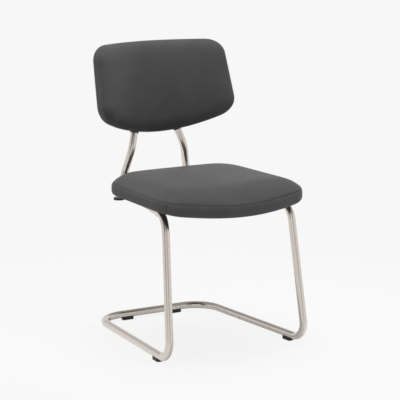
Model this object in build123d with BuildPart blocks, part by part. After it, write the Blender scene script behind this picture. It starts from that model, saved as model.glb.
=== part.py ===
"""Cantilever side chair: a bent steel tube frame with an upholstered seat and backrest.

Millimetres. The chair faces -Y, +X is to the right of someone who looks at its front,
and the floor is Z = 0. The origin lies on the floor under the middle of the base.
"""
import os
from math import asin, cos, pi, radians, sin, sqrt

from build123d import *

os.makedirs("parts", exist_ok=True)

# Frame tube
tube_diameter = 22.0
tube_wall = 2.0
tube_radius = tube_diameter / 2

# Corners of the frame's centre line before bending, on the +X side, with rises above the rails
base_front_half_width = 223.0
base_rear_half_width = 186.0
base_length = 530.0
rail_height = 417.0
rail_front_half_width = 203.0
rail_front_y = -209.0
rail_rear_half_width = 116.0
rail_rear_y = 239.0
lumbar_half_width = 88.7
lumbar_y = 210.2
lumbar_rise = 118.0
upright_end_half_width = 42.4
upright_end_y = 246.1
upright_end_rise = 267.0

# Bend radii of the centre line
lumbar_bend = 85.0
rail_rear_bend = 50.0
rail_front_bend = 60.0
base_front_bend = 50.0
base_rear_bend = 85.0

# Joining sleeve inside the rear cross tube
sleeve_length = 80.0
sleeve_wall = 2.0

# Glides under the base
glide_height = 7.0
glide_length = 36.0
glide_width = 18.0
glide_corner = 4.0
glide_wrap = 4.0
glide_peg_diameter = 6.0
glide_peg_length = 7.0
front_glide_y = -180.0
rear_glide_x = 83.0

# Seat outline in plan, at the seam between the top panel and the side band
seat_front_y = -306.0
seat_front_half_width = 240.0
seat_front_bow = 55.0
seat_front_corner = 84.0
seat_rear_y = 174.5
seat_rear_half_width = 226.0
seat_rear_bow = 17.5
seat_rear_corner = 136.0

# Seat layers, measured from the seam
seat_band_height = 32.0
seat_band_thickness = 10.0
seat_dome_height = 25.0
seat_dome_width = 88.0
dome_power = 2.4
dome_count = 30
seat_lower_round = 8.0
seat_board_thickness = 12.0
underside_cover_thickness = 1.0

# Waterfall front of the seat: the layers bend down ahead of this line
waterfall_start_y = -195.0
waterfall_radius = 290.0
waterfall_turn = 32.0

# Backrest frame: the middle of its front surface, its rise above the rails, and how far it leans back
back_front_y = 217.4
back_middle_rise = 299.0
back_recline = 14.0

# Backrest outline in elevation, measured from that middle, along the lean
back_top = 144.0
back_top_bow = 18.5
back_top_half_width = 214.0
back_bottom = 131.6
back_bottom_bow = 41.5
back_bottom_half_width = 228.0
back_corner = 53.0

# Backrest pad: its curve in plan, its depth at the wings and at the middle, and its rounded rim
back_curve_radius = 312.0
back_edge_depth = 44.0
back_depth = 63.0
back_rim_round = 22.0
back_rim_depth = 14.0
back_nose_share = 0.9
pad_count = 18

# Backrest layers, measured back from the front surface at the middle
back_cushion_depth = 17.0
back_board_thickness = 7.0
back_board_width = 380.0
back_board_height = 196.0
back_board_rise = 14.0
back_board_corner = 50.0

# Bushings round the uprights at the backrest's lower edge
bushing_diameter = 25.0
bushing_length = 26.0
bushing_foot_rise = 165.5

# End plugs of the uprights
plug_length = 14.0
plug_flange_thickness = 2.0

# Fasteners
screw_diameter = 6.0
screw_head_diameter = 12.0
screw_head_height = 4.0
screw_head_chamfer = 1.0
screw_hole_diameter = 6.6
screw_tip_room = 1.0
insert_diameter = 9.0
insert_bore = 6.2
insert_collar_diameter = 14.0
seat_screw_front_y = -140.0
seat_screw_rear_y = 118.0
back_screw_places = (0.55, 0.85)

# Spacers between the rails and the seat
spacer_height = 6.0
spacer_length = 36.0
spacer_width = 20.0
spacer_corner = 4.0
spacer_wrap = 6.0

# Clip-on buffers at the rear of the rails, each with a round pad outboard of the rail
buffer_y = 171.0
buffer_length = 16.0
buffer_width = 29.0
buffer_corner = 3.0
buffer_drop = 9.5
buffer_rise = 5.0
buffer_pad_diameter = 33.0
buffer_pad_offset = 24.0
buffer_pad_thickness = 6.0

# Clearances
fit_gap = 0.2
soft_gap = 0.3
core_overlap = 1.0
layer_margin = 20.0
tall = 1000.0

# Derived places
base_tube_height = glide_height + tube_radius
seat_bottom = rail_height + tube_radius + spacer_height
seat_seam_height = seat_bottom + seat_band_height
seat_board_low = underside_cover_thickness + fit_gap - seat_band_height
seat_board_high = seat_board_low + seat_board_thickness
rail_slope = (rail_rear_half_width - rail_front_half_width) / (rail_rear_y - rail_front_y)
rail_direction = (rail_slope, 1, 0)
runner_slope = (base_rear_half_width - base_front_half_width) / base_length
runner_direction = (runner_slope, 1, 0)


def keep(part, name):
    """Label a finished piece and write it out."""
    part.label = name
    export_step(part, f"parts/{name}.step")


def keep_pair(part, name):
    """Keep a right-hand piece and its left-hand mirror image."""
    with BuildPart() as other:
        mirror(part, about=Plane.YZ)
    keep(part, name + "_right")
    keep(other.part, name + "_left")


def rail_x(y):
    """Half distance between the two rails at a given y."""
    return rail_front_half_width + rail_slope * (y - rail_front_y)


def runner_x(y):
    """Half distance between the two floor runners at a given y."""
    return base_front_half_width + runner_slope * (y + base_length / 2)


def end_weighted(count):
    """Shares from 0 to 1, closer together near both ends."""
    return [(1 - cos(pi * (step + 0.5) / count)) / 2 for step in range(count)]


def half_width_at(outline, y):
    """Half width of a symmetric outline at a given height in its own plane."""
    crossing = Edge.make_line((0, y), (tall, y)).intersect(outline.face())
    return max(vertex.X for vertex in crossing.vertices())


# Side frames: backrest upright, seat rail, front leg, floor runner and half of the rear cross tube
upright_end = Vector(upright_end_half_width, upright_end_y, rail_height + upright_end_rise)
lumbar_point = Vector(lumbar_half_width, lumbar_y, rail_height + lumbar_rise)
upright_direction = (upright_end - lumbar_point).normalized()
frame_corners = [
    upright_end,
    lumbar_point,
    Vector(rail_rear_half_width, rail_rear_y, rail_height),
    Vector(rail_front_half_width, rail_front_y, rail_height),
    Vector(base_front_half_width, -base_length / 2, base_tube_height),
    Vector(base_rear_half_width, base_length / 2, base_tube_height),
    Vector(0, base_length / 2, base_tube_height),
]
frame_bends = [lumbar_bend, rail_rear_bend, rail_front_bend, base_front_bend, base_rear_bend]
seat_screw_spots = [(rail_x(y), y) for y in (seat_screw_front_y, seat_screw_rear_y)]

# The backrest's own planes: its outline plane, and the plane square to its lean
lean = radians(back_recline)
back_middle = Vector(0, back_front_y, rail_height + back_middle_rise)
depth_direction = Vector(0, cos(lean), -sin(lean))
lean_direction = Vector(0, sin(lean), cos(lean))
back_outline_plane = Plane(back_middle, x_dir=(-1, 0, 0), z_dir=depth_direction)
back_section_plane = Plane(back_middle, x_dir=(1, 0, 0), z_dir=lean_direction)
upright_run = upright_end - lumbar_point
back_screw_points = [lumbar_point + upright_run * share for share in back_screw_places]
back_screw_planes = [Plane(point, x_dir=(1, 0, 0), z_dir=-depth_direction) for point in back_screw_points]

with BuildPart() as side_frame_right:
    with BuildLine() as frame_line:
        FilletPolyline(*frame_corners, radius=frame_bends)
    with BuildSketch(Plane(upright_end, z_dir=-upright_direction)):
        Circle(tube_radius)
        Circle(tube_radius - tube_wall, mode=Mode.SUBTRACT)
    sweep()
    with Locations(*[(x, y, rail_height + tube_diameter) for x, y in seat_screw_spots]):
        Hole(screw_hole_diameter / 2, depth=2 * tube_diameter)
    with Locations(*[plane.offset(tube_diameter) for plane in back_screw_planes]):
        Hole(screw_hole_diameter / 2, depth=2 * tube_diameter)
    with Locations((runner_x(front_glide_y), front_glide_y, base_tube_height),
                   (rear_glide_x, base_length / 2, base_tube_height)):
        Hole(glide_peg_diameter / 2 + fit_gap, depth=tube_diameter)
keep_pair(side_frame_right.part, "side_frame")

with BuildPart() as rear_sleeve:
    with BuildSketch(Plane((-sleeve_length / 2, base_length / 2, base_tube_height), z_dir=(1, 0, 0))):
        Circle(tube_radius - tube_wall - fit_gap)
        Circle(tube_radius - tube_wall - fit_gap - sleeve_wall, mode=Mode.SUBTRACT)
    extrude(amount=sleeve_length)
keep(rear_sleeve.part, "rear_sleeve")


def glide(x, y, direction):
    """Moulded glide: a block with a saddle for the tube and a peg into its underside."""
    with BuildPart() as block:
        with BuildSketch(Plane((x, y, 0), x_dir=direction, z_dir=(0, 0, 1))):
            RectangleRounded(glide_length, glide_width, glide_corner)
        extrude(amount=glide_height + glide_wrap)
        chamfer(block.faces().sort_by(Axis.Z)[0].edges(), 1.0)
        with BuildSketch(Plane((x, y, base_tube_height), x_dir=(0, 0, 1), z_dir=direction)):
            Circle(tube_radius + fit_gap)
        extrude(amount=glide_length, both=True, mode=Mode.SUBTRACT)
        with BuildSketch(Plane.XY.offset(glide_height / 2)):
            with Locations((x, y)):
                Circle(glide_peg_diameter / 2)
        extrude(amount=glide_height / 2 + glide_peg_length)
    return block.part


keep_pair(glide(runner_x(front_glide_y), front_glide_y, runner_direction), "glide_front")
keep_pair(glide(rear_glide_x, base_length / 2, (1, 0, 0)), "glide_rear")


# Seat: layers swept along one path, cut to the plan outline
def seat_outline(inset=0.0):
    """Plan outline of the seat, drawn in by an inset."""
    front_corner_y = seat_front_y + seat_front_bow
    rear_corner_y = seat_rear_y - seat_rear_bow
    front_right = (seat_front_half_width, front_corner_y)
    front_left = (-seat_front_half_width, front_corner_y)
    rear_right = (seat_rear_half_width, rear_corner_y)
    rear_left = (-seat_rear_half_width, rear_corner_y)
    with BuildSketch() as outline:
        with BuildLine():
            ThreePointArc(front_left, (0, seat_front_y), front_right)
            Line(front_right, rear_right)
            ThreePointArc(rear_right, (0, seat_rear_y), rear_left)
            Line(rear_left, front_left)
        make_face()
        fillet(outline.vertices().group_by(Axis.Y)[0], seat_front_corner)
        fillet(outline.vertices().group_by(Axis.Y)[-1], seat_rear_corner)
        if inset:
            offset(amount=-inset)
    return outline.sketch


seat_start_y = seat_rear_y + layer_margin
seat_start = Plane((0, seat_start_y, seat_seam_height), x_dir=(1, 0, 0), z_dir=(0, -1, 0))
with BuildLine(Plane.YZ) as seat_line:
    Line((seat_start_y, seat_seam_height), (waterfall_start_y, seat_seam_height))
    JernArc((waterfall_start_y, seat_seam_height), (-1, 0), waterfall_radius, waterfall_turn)
seat_path = seat_line.wire()


def seat_layer(low, high, outline):
    """Layer between two heights from the seam, cut to an outline."""
    half_width = seat_front_half_width + layer_margin
    with BuildPart() as layer:
        with BuildSketch(seat_start):
            with Locations((0, (low + high) / 2)):
                Rectangle(2 * half_width, high - low)
        sweep(path=seat_path)
        with BuildSketch():
            add(outline)
        extrude(amount=tall, mode=Mode.INTERSECT)
    return layer.part


def dome_share(room):
    """Share of the dome's height at a distance in from its edge."""
    return 1 - (1 - min(room / seat_dome_width, 1)) ** dome_power


def seam_height(y):
    """Height of the seam, lower over the waterfall front."""
    ahead = max(waterfall_start_y - y, 0)
    return seat_seam_height - waterfall_radius + sqrt(waterfall_radius ** 2 - ahead ** 2)


def dome_section(y):
    """Cross section of the seat's top panel at a given y: a flat seam line under a flattened arch."""
    reach = half_width_at(outer_outline, y)
    rise = seat_dome_height * dome_share(min(y - seat_front_y, seat_rear_y - y))
    edge = min(seat_dome_width, 0.6 * reach)
    middle = reach - edge / 2
    inner = reach - edge
    middle_rise = rise * (1 - 0.5 ** dome_power)
    with BuildSketch(Plane((0, y, seam_height(y)), x_dir=(1, 0, 0), z_dir=(0, -1, 0))) as section:
        with BuildLine():
            Line((-reach, 0), (reach, 0))
            ThreePointArc((reach, 0), (middle, middle_rise), (inner, rise))
            Line((inner, rise), (-inner, rise))
            ThreePointArc((-inner, rise), (-middle, middle_rise), (-reach, 0))
        make_face()
    return section.sketch


def lower_rim(part):
    """Edges between the walls of a layer and its lower surface."""
    surface = part.faces().filter_by(lambda face: face.normal_at().Z < -0.5)
    walls = part.faces().filter_by(lambda face: abs(face.normal_at().Z) < 0.5)
    return surface.edges() & walls.edges()


outer_outline = seat_outline()
band_inner_outline = seat_outline(seat_band_thickness)
core_outline = seat_outline(seat_band_thickness + soft_gap)
cushion_core = seat_layer(seat_board_high + soft_gap, core_overlap, core_outline)
seat_length = seat_rear_y - seat_front_y
dome_sections = [dome_section(seat_front_y + seat_length * share) for share in end_weighted(dome_count)]
band_block = seat_layer(-seat_band_height, -soft_gap, outer_outline)
board_block = seat_layer(seat_board_low, seat_board_high, core_outline)
cover_sheet = seat_layer(-seat_band_height, underside_cover_thickness - seat_band_height, core_outline)

with BuildPart() as seat_cushion:
    for section in dome_sections:
        add(section)
    loft(ruled=True)
    add(cushion_core)
keep(seat_cushion.part, "seat_cushion")

with BuildPart() as seat_side_band:
    add(band_block)
    fillet(lower_rim(seat_side_band.part), seat_lower_round)
    with BuildSketch():
        add(band_inner_outline)
    extrude(amount=tall, mode=Mode.SUBTRACT)
keep(seat_side_band.part, "seat_side_band")

both_seat_spots = seat_screw_spots + [(-x, y) for x, y in seat_screw_spots]
with BuildPart() as seat_board:
    add(board_block)
    with Locations(*[(x, y, seat_seam_height) for x, y in both_seat_spots]):
        Hole(insert_diameter / 2 + fit_gap)
keep(seat_board.part, "seat_board")

with BuildPart() as seat_underside_cover:
    add(cover_sheet)
    with Locations(*[(x, y, seat_seam_height) for x, y in both_seat_spots]):
        Hole(screw_hole_diameter / 2)
keep(seat_underside_cover.part, "seat_underside_cover")


# Fixings between the rails and the seat
def seat_spacer(x, y):
    """Spacer block with a saddle for the rail and a hole for the seat screw."""
    with BuildPart() as block:
        with BuildSketch(Plane((x, y, seat_bottom), x_dir=rail_direction, z_dir=(0, 0, -1))):
            RectangleRounded(spacer_length, spacer_width, spacer_corner)
        extrude(amount=spacer_height + spacer_wrap)
        with BuildSketch(Plane((x, y, rail_height), x_dir=(0, 0, 1), z_dir=rail_direction)):
            Circle(tube_radius + fit_gap)
        extrude(amount=spacer_length, both=True, mode=Mode.SUBTRACT)
        with Locations((x, y, seat_bottom)):
            Hole(screw_hole_diameter / 2)
    return block.part


(front_screw_x, front_screw_y), (rear_screw_x, rear_screw_y) = seat_screw_spots
keep_pair(seat_spacer(front_screw_x, front_screw_y), "seat_spacer_front")
keep_pair(seat_spacer(rear_screw_x, rear_screw_y), "seat_spacer_rear")

buffer_x = rail_x(buffer_y)
buffer_foot = rail_height - tube_radius - buffer_drop
with BuildPart() as rail_buffer_right:
    with BuildSketch(Plane((buffer_x, buffer_y, buffer_foot), x_dir=rail_direction, z_dir=(0, 0, 1))):
        RectangleRounded(buffer_length, buffer_width, buffer_corner)
    extrude(amount=buffer_drop + tube_radius + buffer_rise)
    with BuildSketch(Plane((buffer_x + buffer_pad_offset, buffer_y, buffer_foot))):
        Circle(buffer_pad_diameter / 2)
    extrude(amount=buffer_pad_thickness)
    with BuildSketch(Plane((buffer_x, buffer_y, rail_height), x_dir=(0, 0, 1), z_dir=rail_direction)):
        Circle(tube_radius + fit_gap)
    extrude(amount=buffer_length, both=True, mode=Mode.SUBTRACT)
keep_pair(rail_buffer_right.part, "rail_buffer")


def screw_set(places):
    """Pan head screws, each given by the plane under its head and its length."""
    with BuildPart() as screws:
        for plane, length in places:
            with BuildSketch(plane):
                Circle(screw_head_diameter / 2)
            extrude(amount=-screw_head_height)
            chamfer(screws.faces(Select.LAST).sort_by(Axis(plane.origin, plane.z_dir))[0].edges(),
                    screw_head_chamfer)
            with BuildSketch(plane):
                Circle(screw_diameter / 2)
            extrude(amount=length)
    return screws.part


board_low_height = seat_seam_height + seat_board_low
board_high_height = seat_seam_height + seat_board_high
head_seat = rail_height - tube_radius
seat_screw_length = board_high_height - screw_tip_room - head_seat
seat_screw_seats = [Plane((x, y, head_seat)) for x, y in both_seat_spots]
keep(screw_set([(plane, seat_screw_length) for plane in seat_screw_seats]), "seat_screws")

with BuildPart() as seat_inserts:
    with BuildSketch(Plane.XY.offset(board_low_height)):
        with Locations(*both_seat_spots):
            Circle(insert_diameter / 2)
            Circle(insert_bore / 2, mode=Mode.SUBTRACT)
    extrude(amount=seat_board_thickness)
keep(seat_inserts.part, "seat_inserts")

# Backrest: a front cushion and a rear cushion lofted through level sections, with a curved board between
curve_centre = back_edge_depth / 2 - back_curve_radius
split_offset = back_cushion_depth - back_edge_depth / 2
board_front = back_curve_radius + split_offset + soft_gap
board_rear = board_front + back_board_thickness

with BuildSketch() as back_outline:
    with BuildLine():
        top_right = (back_top_half_width, back_top - back_top_bow)
        top_left = (-back_top_half_width, back_top - back_top_bow)
        bottom_right = (back_bottom_half_width, back_bottom_bow - back_bottom)
        bottom_left = (-back_bottom_half_width, back_bottom_bow - back_bottom)
        ThreePointArc(top_left, (0, back_top), top_right)
        Line(top_right, bottom_right)
        ThreePointArc(bottom_right, (0, -back_bottom), bottom_left)
        Line(bottom_left, top_left)
    make_face()
    fillet(back_outline.vertices(), back_corner)


def layer_sketch(height, half_width, front, rear, middle_front, middle_rear):
    """Level section of a cushion, between two offsets from the pad's middle curve."""
    full_depth = back_edge_depth * depth_share(height)
    nose = full_depth / 2 * back_nose_share
    nose_centre = (nose ** 2 - full_depth ** 2 / 4) / (2 * nose)
    nose_radius = nose - nose_centre
    angle = asin((half_width - nose * back_nose_share) / back_curve_radius)

    def wing_point(offset):
        reach = nose_centre + sqrt(nose_radius ** 2 - offset ** 2)
        turn = angle + reach / back_curve_radius
        radius = back_curve_radius + offset
        return radius * sin(turn), curve_centre + radius * cos(turn)

    front_x, front_depth = wing_point(front)
    tip_x, tip_depth = wing_point((front + rear) / 2)
    rear_x, rear_depth = wing_point(rear)
    with BuildSketch(back_section_plane.offset(height)) as section:
        with BuildLine():
            ThreePointArc((-front_x, front_depth), (0, middle_front), (front_x, front_depth))
            ThreePointArc((front_x, front_depth), (tip_x, tip_depth), (rear_x, rear_depth))
            ThreePointArc((rear_x, rear_depth), (0, middle_rear), (-rear_x, rear_depth))
            ThreePointArc((-rear_x, rear_depth), (-tip_x, tip_depth), (-front_x, front_depth))
        make_face()
    return section.sketch


def depth_share(height):
    """Share of the pad's full depth that is left at a height, less near its rounded rim."""
    room = back_top - height if height > 0 else back_bottom + height
    room = min(room, back_rim_round) / back_rim_round
    return max(sqrt(1 - (1 - room) ** 2), back_rim_depth / back_edge_depth)


def cushion_sections(height):
    """Front and rear cushion sections at a height along the lean."""
    half_width = half_width_at(back_outline.sketch, height)
    share = depth_share(height)
    half_depth = back_edge_depth * share / 2
    middle = back_edge_depth / 2
    split = split_offset * share
    middle_rear = middle - half_depth + back_depth * share
    front = layer_sketch(height, half_width, -half_depth, split, middle - half_depth, middle + split)
    split += soft_gap
    rear = layer_sketch(height, half_width, split, half_depth, middle + split, middle_rear)
    return front, rear


pad_heights = [(back_top + back_bottom) * share - back_bottom for share in end_weighted(pad_count)]
all_sections = [cushion_sections(height) for height in pad_heights]


def curve_drum(radius):
    """Round bar about the axis of the backrest's curve."""
    with BuildPart() as drum:
        with BuildSketch(back_section_plane):
            with Locations((0, curve_centre)):
                Circle(radius)
        extrude(amount=tall / 2, both=True)
    return drum.part


def board_form(front_radius, rear_radius, grow):
    """Curved block with the board's outline, grown by a clearance, between two radii."""
    with BuildPart() as block:
        with BuildSketch(back_outline_plane):
            with Locations((0, back_board_rise)):
                RectangleRounded(back_board_width, back_board_height, back_board_corner)
            if grow:
                offset(amount=grow)
        extrude(amount=back_curve_radius, both=True)
        with BuildSketch(back_section_plane):
            with Locations((0, curve_centre)):
                Circle(rear_radius)
                Circle(front_radius, mode=Mode.SUBTRACT)
        extrude(amount=tall / 2, both=True, mode=Mode.INTERSECT)
    return block.part


def board_rear_depth(x):
    """Depth of the board's rear surface at a distance from the middle."""
    return curve_centre + sqrt(board_rear ** 2 - x ** 2)


def back_depth_of(point):
    """Depth of a point behind the backrest's front surface at the middle."""
    return (point - back_middle).dot(depth_direction)


both_back_points = back_screw_points + [Vector(-point.X, point.Y, point.Z) for point in back_screw_points]


def forward_plane(point, depth):
    """Plane at a depth behind a point, facing the front of the backrest."""
    return Plane(point + depth_direction * depth, x_dir=(1, 0, 0), z_dir=-depth_direction)


def insert_length(point):
    """Length of an insert, from the front of the tube into the board."""
    tube_front = back_depth_of(point) - tube_radius - fit_gap
    return tube_front - board_rear_depth(point.X) + back_board_thickness - screw_tip_room


drum_at_board = curve_drum(board_rear + fit_gap)
plain_board = board_form(board_front, board_rear, 0.0)
board_pocket = board_form(board_front - back_cushion_depth / 2, board_rear + soft_gap, soft_gap)

with BuildPart() as back_front_cushion:
    for front, rear in all_sections:
        add(front)
    loft(ruled=True)
keep(back_front_cushion.part, "back_front_cushion")

with BuildPart() as back_board:
    add(plain_board)
    with Locations(*[forward_plane(point, 0) for point in both_back_points]):
        Hole(insert_diameter / 2 + fit_gap, depth=back_curve_radius)
keep(back_board.part, "back_board")

with BuildPart() as back_inserts:
    for point in both_back_points:
        with BuildSketch(forward_plane(point, -tube_radius - fit_gap)):
            Circle(insert_collar_diameter / 2)
        extrude(amount=insert_length(point) + insert_diameter)
    add(drum_at_board, mode=Mode.SUBTRACT)
    for point in both_back_points:
        with BuildSketch(forward_plane(point, -tube_radius - fit_gap)):
            Circle(insert_diameter / 2)
        extrude(amount=insert_length(point))
        with Locations(forward_plane(point, 0)):
            Hole(insert_bore / 2, depth=back_curve_radius)
keep(back_inserts.part, "back_inserts")

screw_reach = tube_diameter + 2 * fit_gap - screw_tip_room
back_screw_seats = [forward_plane(point, tube_radius + fit_gap) for point in both_back_points]
back_screw_lengths = [screw_reach + insert_length(point) for point in both_back_points]
keep(screw_set(zip(back_screw_seats, back_screw_lengths)), "back_screws")

# Bushings, end plugs and the rear cushion that encloses the uprights
upright_axis = Plane(lumbar_point, z_dir=upright_direction)
upright_length = upright_run.length
bushing_start = upright_length * (bushing_foot_rise - lumbar_rise) / upright_run.Z

with BuildPart() as back_bushing_right:
    with BuildSketch(upright_axis.offset(bushing_start)):
        Circle(bushing_diameter / 2)
        Circle(tube_radius + fit_gap, mode=Mode.SUBTRACT)
    extrude(amount=bushing_length)
keep_pair(back_bushing_right.part, "back_bushing")

with BuildPart() as upright_plug_right:
    with BuildSketch(upright_axis.offset(upright_length)):
        Circle(tube_radius)
    extrude(amount=plug_flange_thickness)
    with BuildSketch(upright_axis.offset(upright_length)):
        Circle(tube_radius - tube_wall - fit_gap)
    extrude(amount=plug_flange_thickness - plug_length)
keep_pair(upright_plug_right.part, "upright_plug")

mirror_direction = Vector(-upright_direction.X, upright_direction.Y, upright_direction.Z)
mirror_lumbar = Vector(-lumbar_point.X, lumbar_point.Y, lumbar_point.Z)
mirror_axis = Plane(mirror_lumbar, z_dir=mirror_direction)
with BuildPart() as back_rear_cushion:
    for front, rear in all_sections:
        add(rear)
    loft(ruled=True)
    add(board_pocket, mode=Mode.SUBTRACT)
    for axis in (upright_axis, mirror_axis):
        with BuildSketch(axis):
            Circle(tube_radius + soft_gap)
        extrude(amount=upright_length + plug_flange_thickness + soft_gap, mode=Mode.SUBTRACT)
        with BuildSketch(axis):
            Circle(bushing_diameter / 2 + soft_gap)
        extrude(amount=bushing_start + bushing_length + soft_gap, mode=Mode.SUBTRACT)
    for point in both_back_points:
        with BuildSketch(forward_plane(point, tube_radius + fit_gap + screw_head_height + soft_gap)):
            Circle(insert_collar_diameter / 2 + soft_gap)
        extrude(amount=back_depth, mode=Mode.SUBTRACT)
keep(back_rear_cushion.part, "back_rear_cushion")
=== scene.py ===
"""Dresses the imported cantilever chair: satin steel tube, grey leather pads and black moulded fittings.

The chair faces -Y and stands on Z = 0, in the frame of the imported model. Its sizes are written in
millimetres and become metres in each mesh; lamps are placed in metres.
"""

from math import asin, cos, pi, radians, sin, sqrt

import bpy
import numpy as np
from mathutils import Matrix, Vector


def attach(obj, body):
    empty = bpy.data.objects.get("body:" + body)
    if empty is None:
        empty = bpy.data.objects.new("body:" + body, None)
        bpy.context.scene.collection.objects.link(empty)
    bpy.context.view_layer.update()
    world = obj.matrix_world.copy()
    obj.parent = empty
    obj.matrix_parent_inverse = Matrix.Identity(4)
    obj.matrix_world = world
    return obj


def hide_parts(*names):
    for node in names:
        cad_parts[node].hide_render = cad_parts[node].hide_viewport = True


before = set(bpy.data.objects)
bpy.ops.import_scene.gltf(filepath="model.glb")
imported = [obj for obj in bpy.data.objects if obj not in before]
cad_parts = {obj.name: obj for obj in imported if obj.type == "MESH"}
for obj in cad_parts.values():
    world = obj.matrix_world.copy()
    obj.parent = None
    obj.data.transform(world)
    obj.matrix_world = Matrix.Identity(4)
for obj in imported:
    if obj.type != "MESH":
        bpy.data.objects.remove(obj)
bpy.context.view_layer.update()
scene = bpy.context.scene
scene.view_settings.view_transform = "Standard"
mm = 0.001

# Frame tube: corners of the centre line before bending, on the +X side, and the bend at each
tube_diameter = 22.0
rail_height = 417.0
runner_height = 18.0
rear_cross_y = 265.0
tube_corners = [
    (42.4, 246.1, 684.0),
    (88.7, 210.2, 535.0),
    (116.0, 239.0, rail_height),
    (203.0, -209.0, rail_height),
    (223.0, -265.0, runner_height),
    (186.0, rear_cross_y, runner_height),
    (0.1, rear_cross_y, runner_height),
]
tube_bends = [0.0, 85.0, 50.0, 60.0, 50.0, 85.0, 0.0]
tube_bend_steps = 24
tube_sides = 48

# Seat outline in plan: the middle of each bowed end, its half width, bow and corner radius
seat_front_y = -306.0
seat_front_half_width = 240.0
seat_front_bow = 55.0
seat_front_corner = 84.0
seat_rear_y = 174.5
seat_rear_half_width = 226.0
seat_rear_bow = 17.5
seat_rear_corner = 136.0

# Seat layers: heights from the seam, the domed top and the waterfall front
seat_seam_height = 466.0
seat_seam_inset = 6.0
seat_band_height = 32.0
seat_dome_height = 25.0
seat_dome_width = 90.0
seat_side_width = 72.0
seat_side_share = 0.6
seat_front_width = 125.0
seat_dome_power = 2.4
seat_pillow_share = 0.31
waterfall_start_y = -195.0
waterfall_radius = 290.0
lining_inset = 10.3
lining_gap = 0.3

# Seam down each front corner of the band: its spot, how far it draws in, and the lip on either side of it
corner_seam_spot = (221.0, -246.5)
corner_seam_depth = 2.6
corner_seam_width = 0.9
corner_lip_height = 0.35
corner_lip_place = 3.2
corner_lip_width = 1.6
corner_seam_clear = 12.0

# Seat screws under the rails, on the +X side
seat_screw_spots = [(189.6, -140.0), (139.5, 118.0)]
screw_head_sink = 1.8

# Backrest: the middle of its front surface, its lean, its outline, its curve in plan and its thickness
back_middle = Vector((0.0, 217.4, 716.0))
back_lean = radians(14.0)
back_top = 144.0
back_top_half_width = 214.0
back_top_bow = 18.5
back_bottom = -131.6
back_bottom_half_width = 228.0
back_bottom_bow = 41.5
back_corner = 53.0
back_curve_radius = 312.0
back_half_depth = 22.0
back_extra_depth = 19.0
back_crown = 5.0
back_seam_offset = -5.0
back_rim_round = 22.0
back_rim_least_share = 0.32
back_nose_share = 0.9
back_flat_half_width = 30.0
back_front_round = 60.0
back_front_power = 3

# Swelling of the covers by cloth: its pressure, frames, quality and evening passes, and the furthest move
swell_pressure = 4.0
swell_frames = 20
swell_quality = 6
swell_even_passes = 40
seat_swell_limit = 2.0
back_swell_limit = 3.0

# Thread, staples and the bars that they are bent from
bar_sides = 6
thread_radius = 0.35
stitch_pitch = 4.0
staple_radius = 0.4
staple_pitch = 40.0
staple_inset = 7.0

# Photograph's viewpoint
camera_target = Vector((2.73, -39.37, 414.5))
camera_azimuth = radians(-29.44)
camera_elevation = radians(11.04)
camera_distance = 5139.0
camera_roll = radians(-0.31)
camera_lens = 159.56
camera_sensor = 36.0
camera_clip_metres = 60.0


def linear(colour):
    """Linear RGBA of an sRGB hex colour."""
    shares = [int(colour[place:place + 2], 16) / 255 for place in (1, 3, 5)]
    return [c / 12.92 if c <= 0.04045 else ((c + 0.055) / 1.055) ** 2.4 for c in shares] + [1.0]


def add(tree, kind, links=None, stops=None, **settings):
    """Add a node with its settings, its inputs as values or sockets, and a ramp's stops."""
    made = tree.nodes.new(kind)
    for name, value in settings.items():
        setattr(made, name, value)
    for key, value in (links or {}).items():
        shown = [socket for socket in made.inputs if socket.enabled]
        socket = shown[key] if isinstance(key, int) else next(s for s in shown if s.name == key)
        if isinstance(value, bpy.types.NodeSocket):
            tree.links.new(value, socket)
        else:
            socket.default_value = value
    if stops:
        while len(made.color_ramp.elements) < len(stops):
            made.color_ramp.elements.new(1.0)
        for element, (place, colour) in zip(made.color_ramp.elements, stops):
            element.position = place
            element.color = colour
    return made


# Materials
def surface(name, colour, roughness, metallic=0.0):
    """New material with a principled surface: its node tree, its shader and the material."""
    made = bpy.data.materials.new(name)
    made.use_nodes = True
    shader = made.node_tree.nodes["Principled BSDF"]
    shader.inputs["Base Color"].default_value = linear(colour)
    shader.inputs["Roughness"].default_value = roughness
    shader.inputs["Metallic"].default_value = metallic
    return made.node_tree, shader, made


def grey_leather():
    """Corrected-grain leather, dyed dark grey: a soft low sheen over a fine pebbled grain."""
    tree, shader, made = surface("grey_corrected_grain_leather", "#5a5959", 0.5)
    place = add(tree, "ShaderNodeTexCoord").outputs["Object"]
    # Real pebbles are about 1 mm; they are drawn at 2.5 mm so that close views show them
    pebble = 2.5 * mm
    dye_cloud = 60 * mm
    pebbles = add(tree, "ShaderNodeTexVoronoi", {"Vector": place, "Scale": 1 / pebble}, feature="SMOOTH_F1")
    clouds = add(tree, "ShaderNodeTexNoise", {"Vector": place, "Scale": 1 / dye_cloud, "Detail": 3.0})
    tone = add(tree, "ShaderNodeValToRGB", {0: clouds.outputs[0]},
               stops=[(0.3, linear("#575656")), (0.7, linear("#5d5c5c"))])
    tree.links.new(tone.outputs[0], shader.inputs["Base Color"])
    gloss = add(tree, "ShaderNodeMapRange", {"Value": pebbles.outputs[0], "From Max": 1.0,
                                             "To Min": 0.46, "To Max": 0.6})
    tree.links.new(gloss.outputs[0], shader.inputs["Roughness"])
    bump = add(tree, "ShaderNodeBump", {"Strength": 0.12, "Distance": 0.15 * mm,
                                        "Height": pebbles.outputs[0]})
    tree.links.new(bump.outputs[0], shader.inputs["Normal"])
    shader.inputs["Specular IOR Level"].default_value = 0.05
    return made


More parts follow.
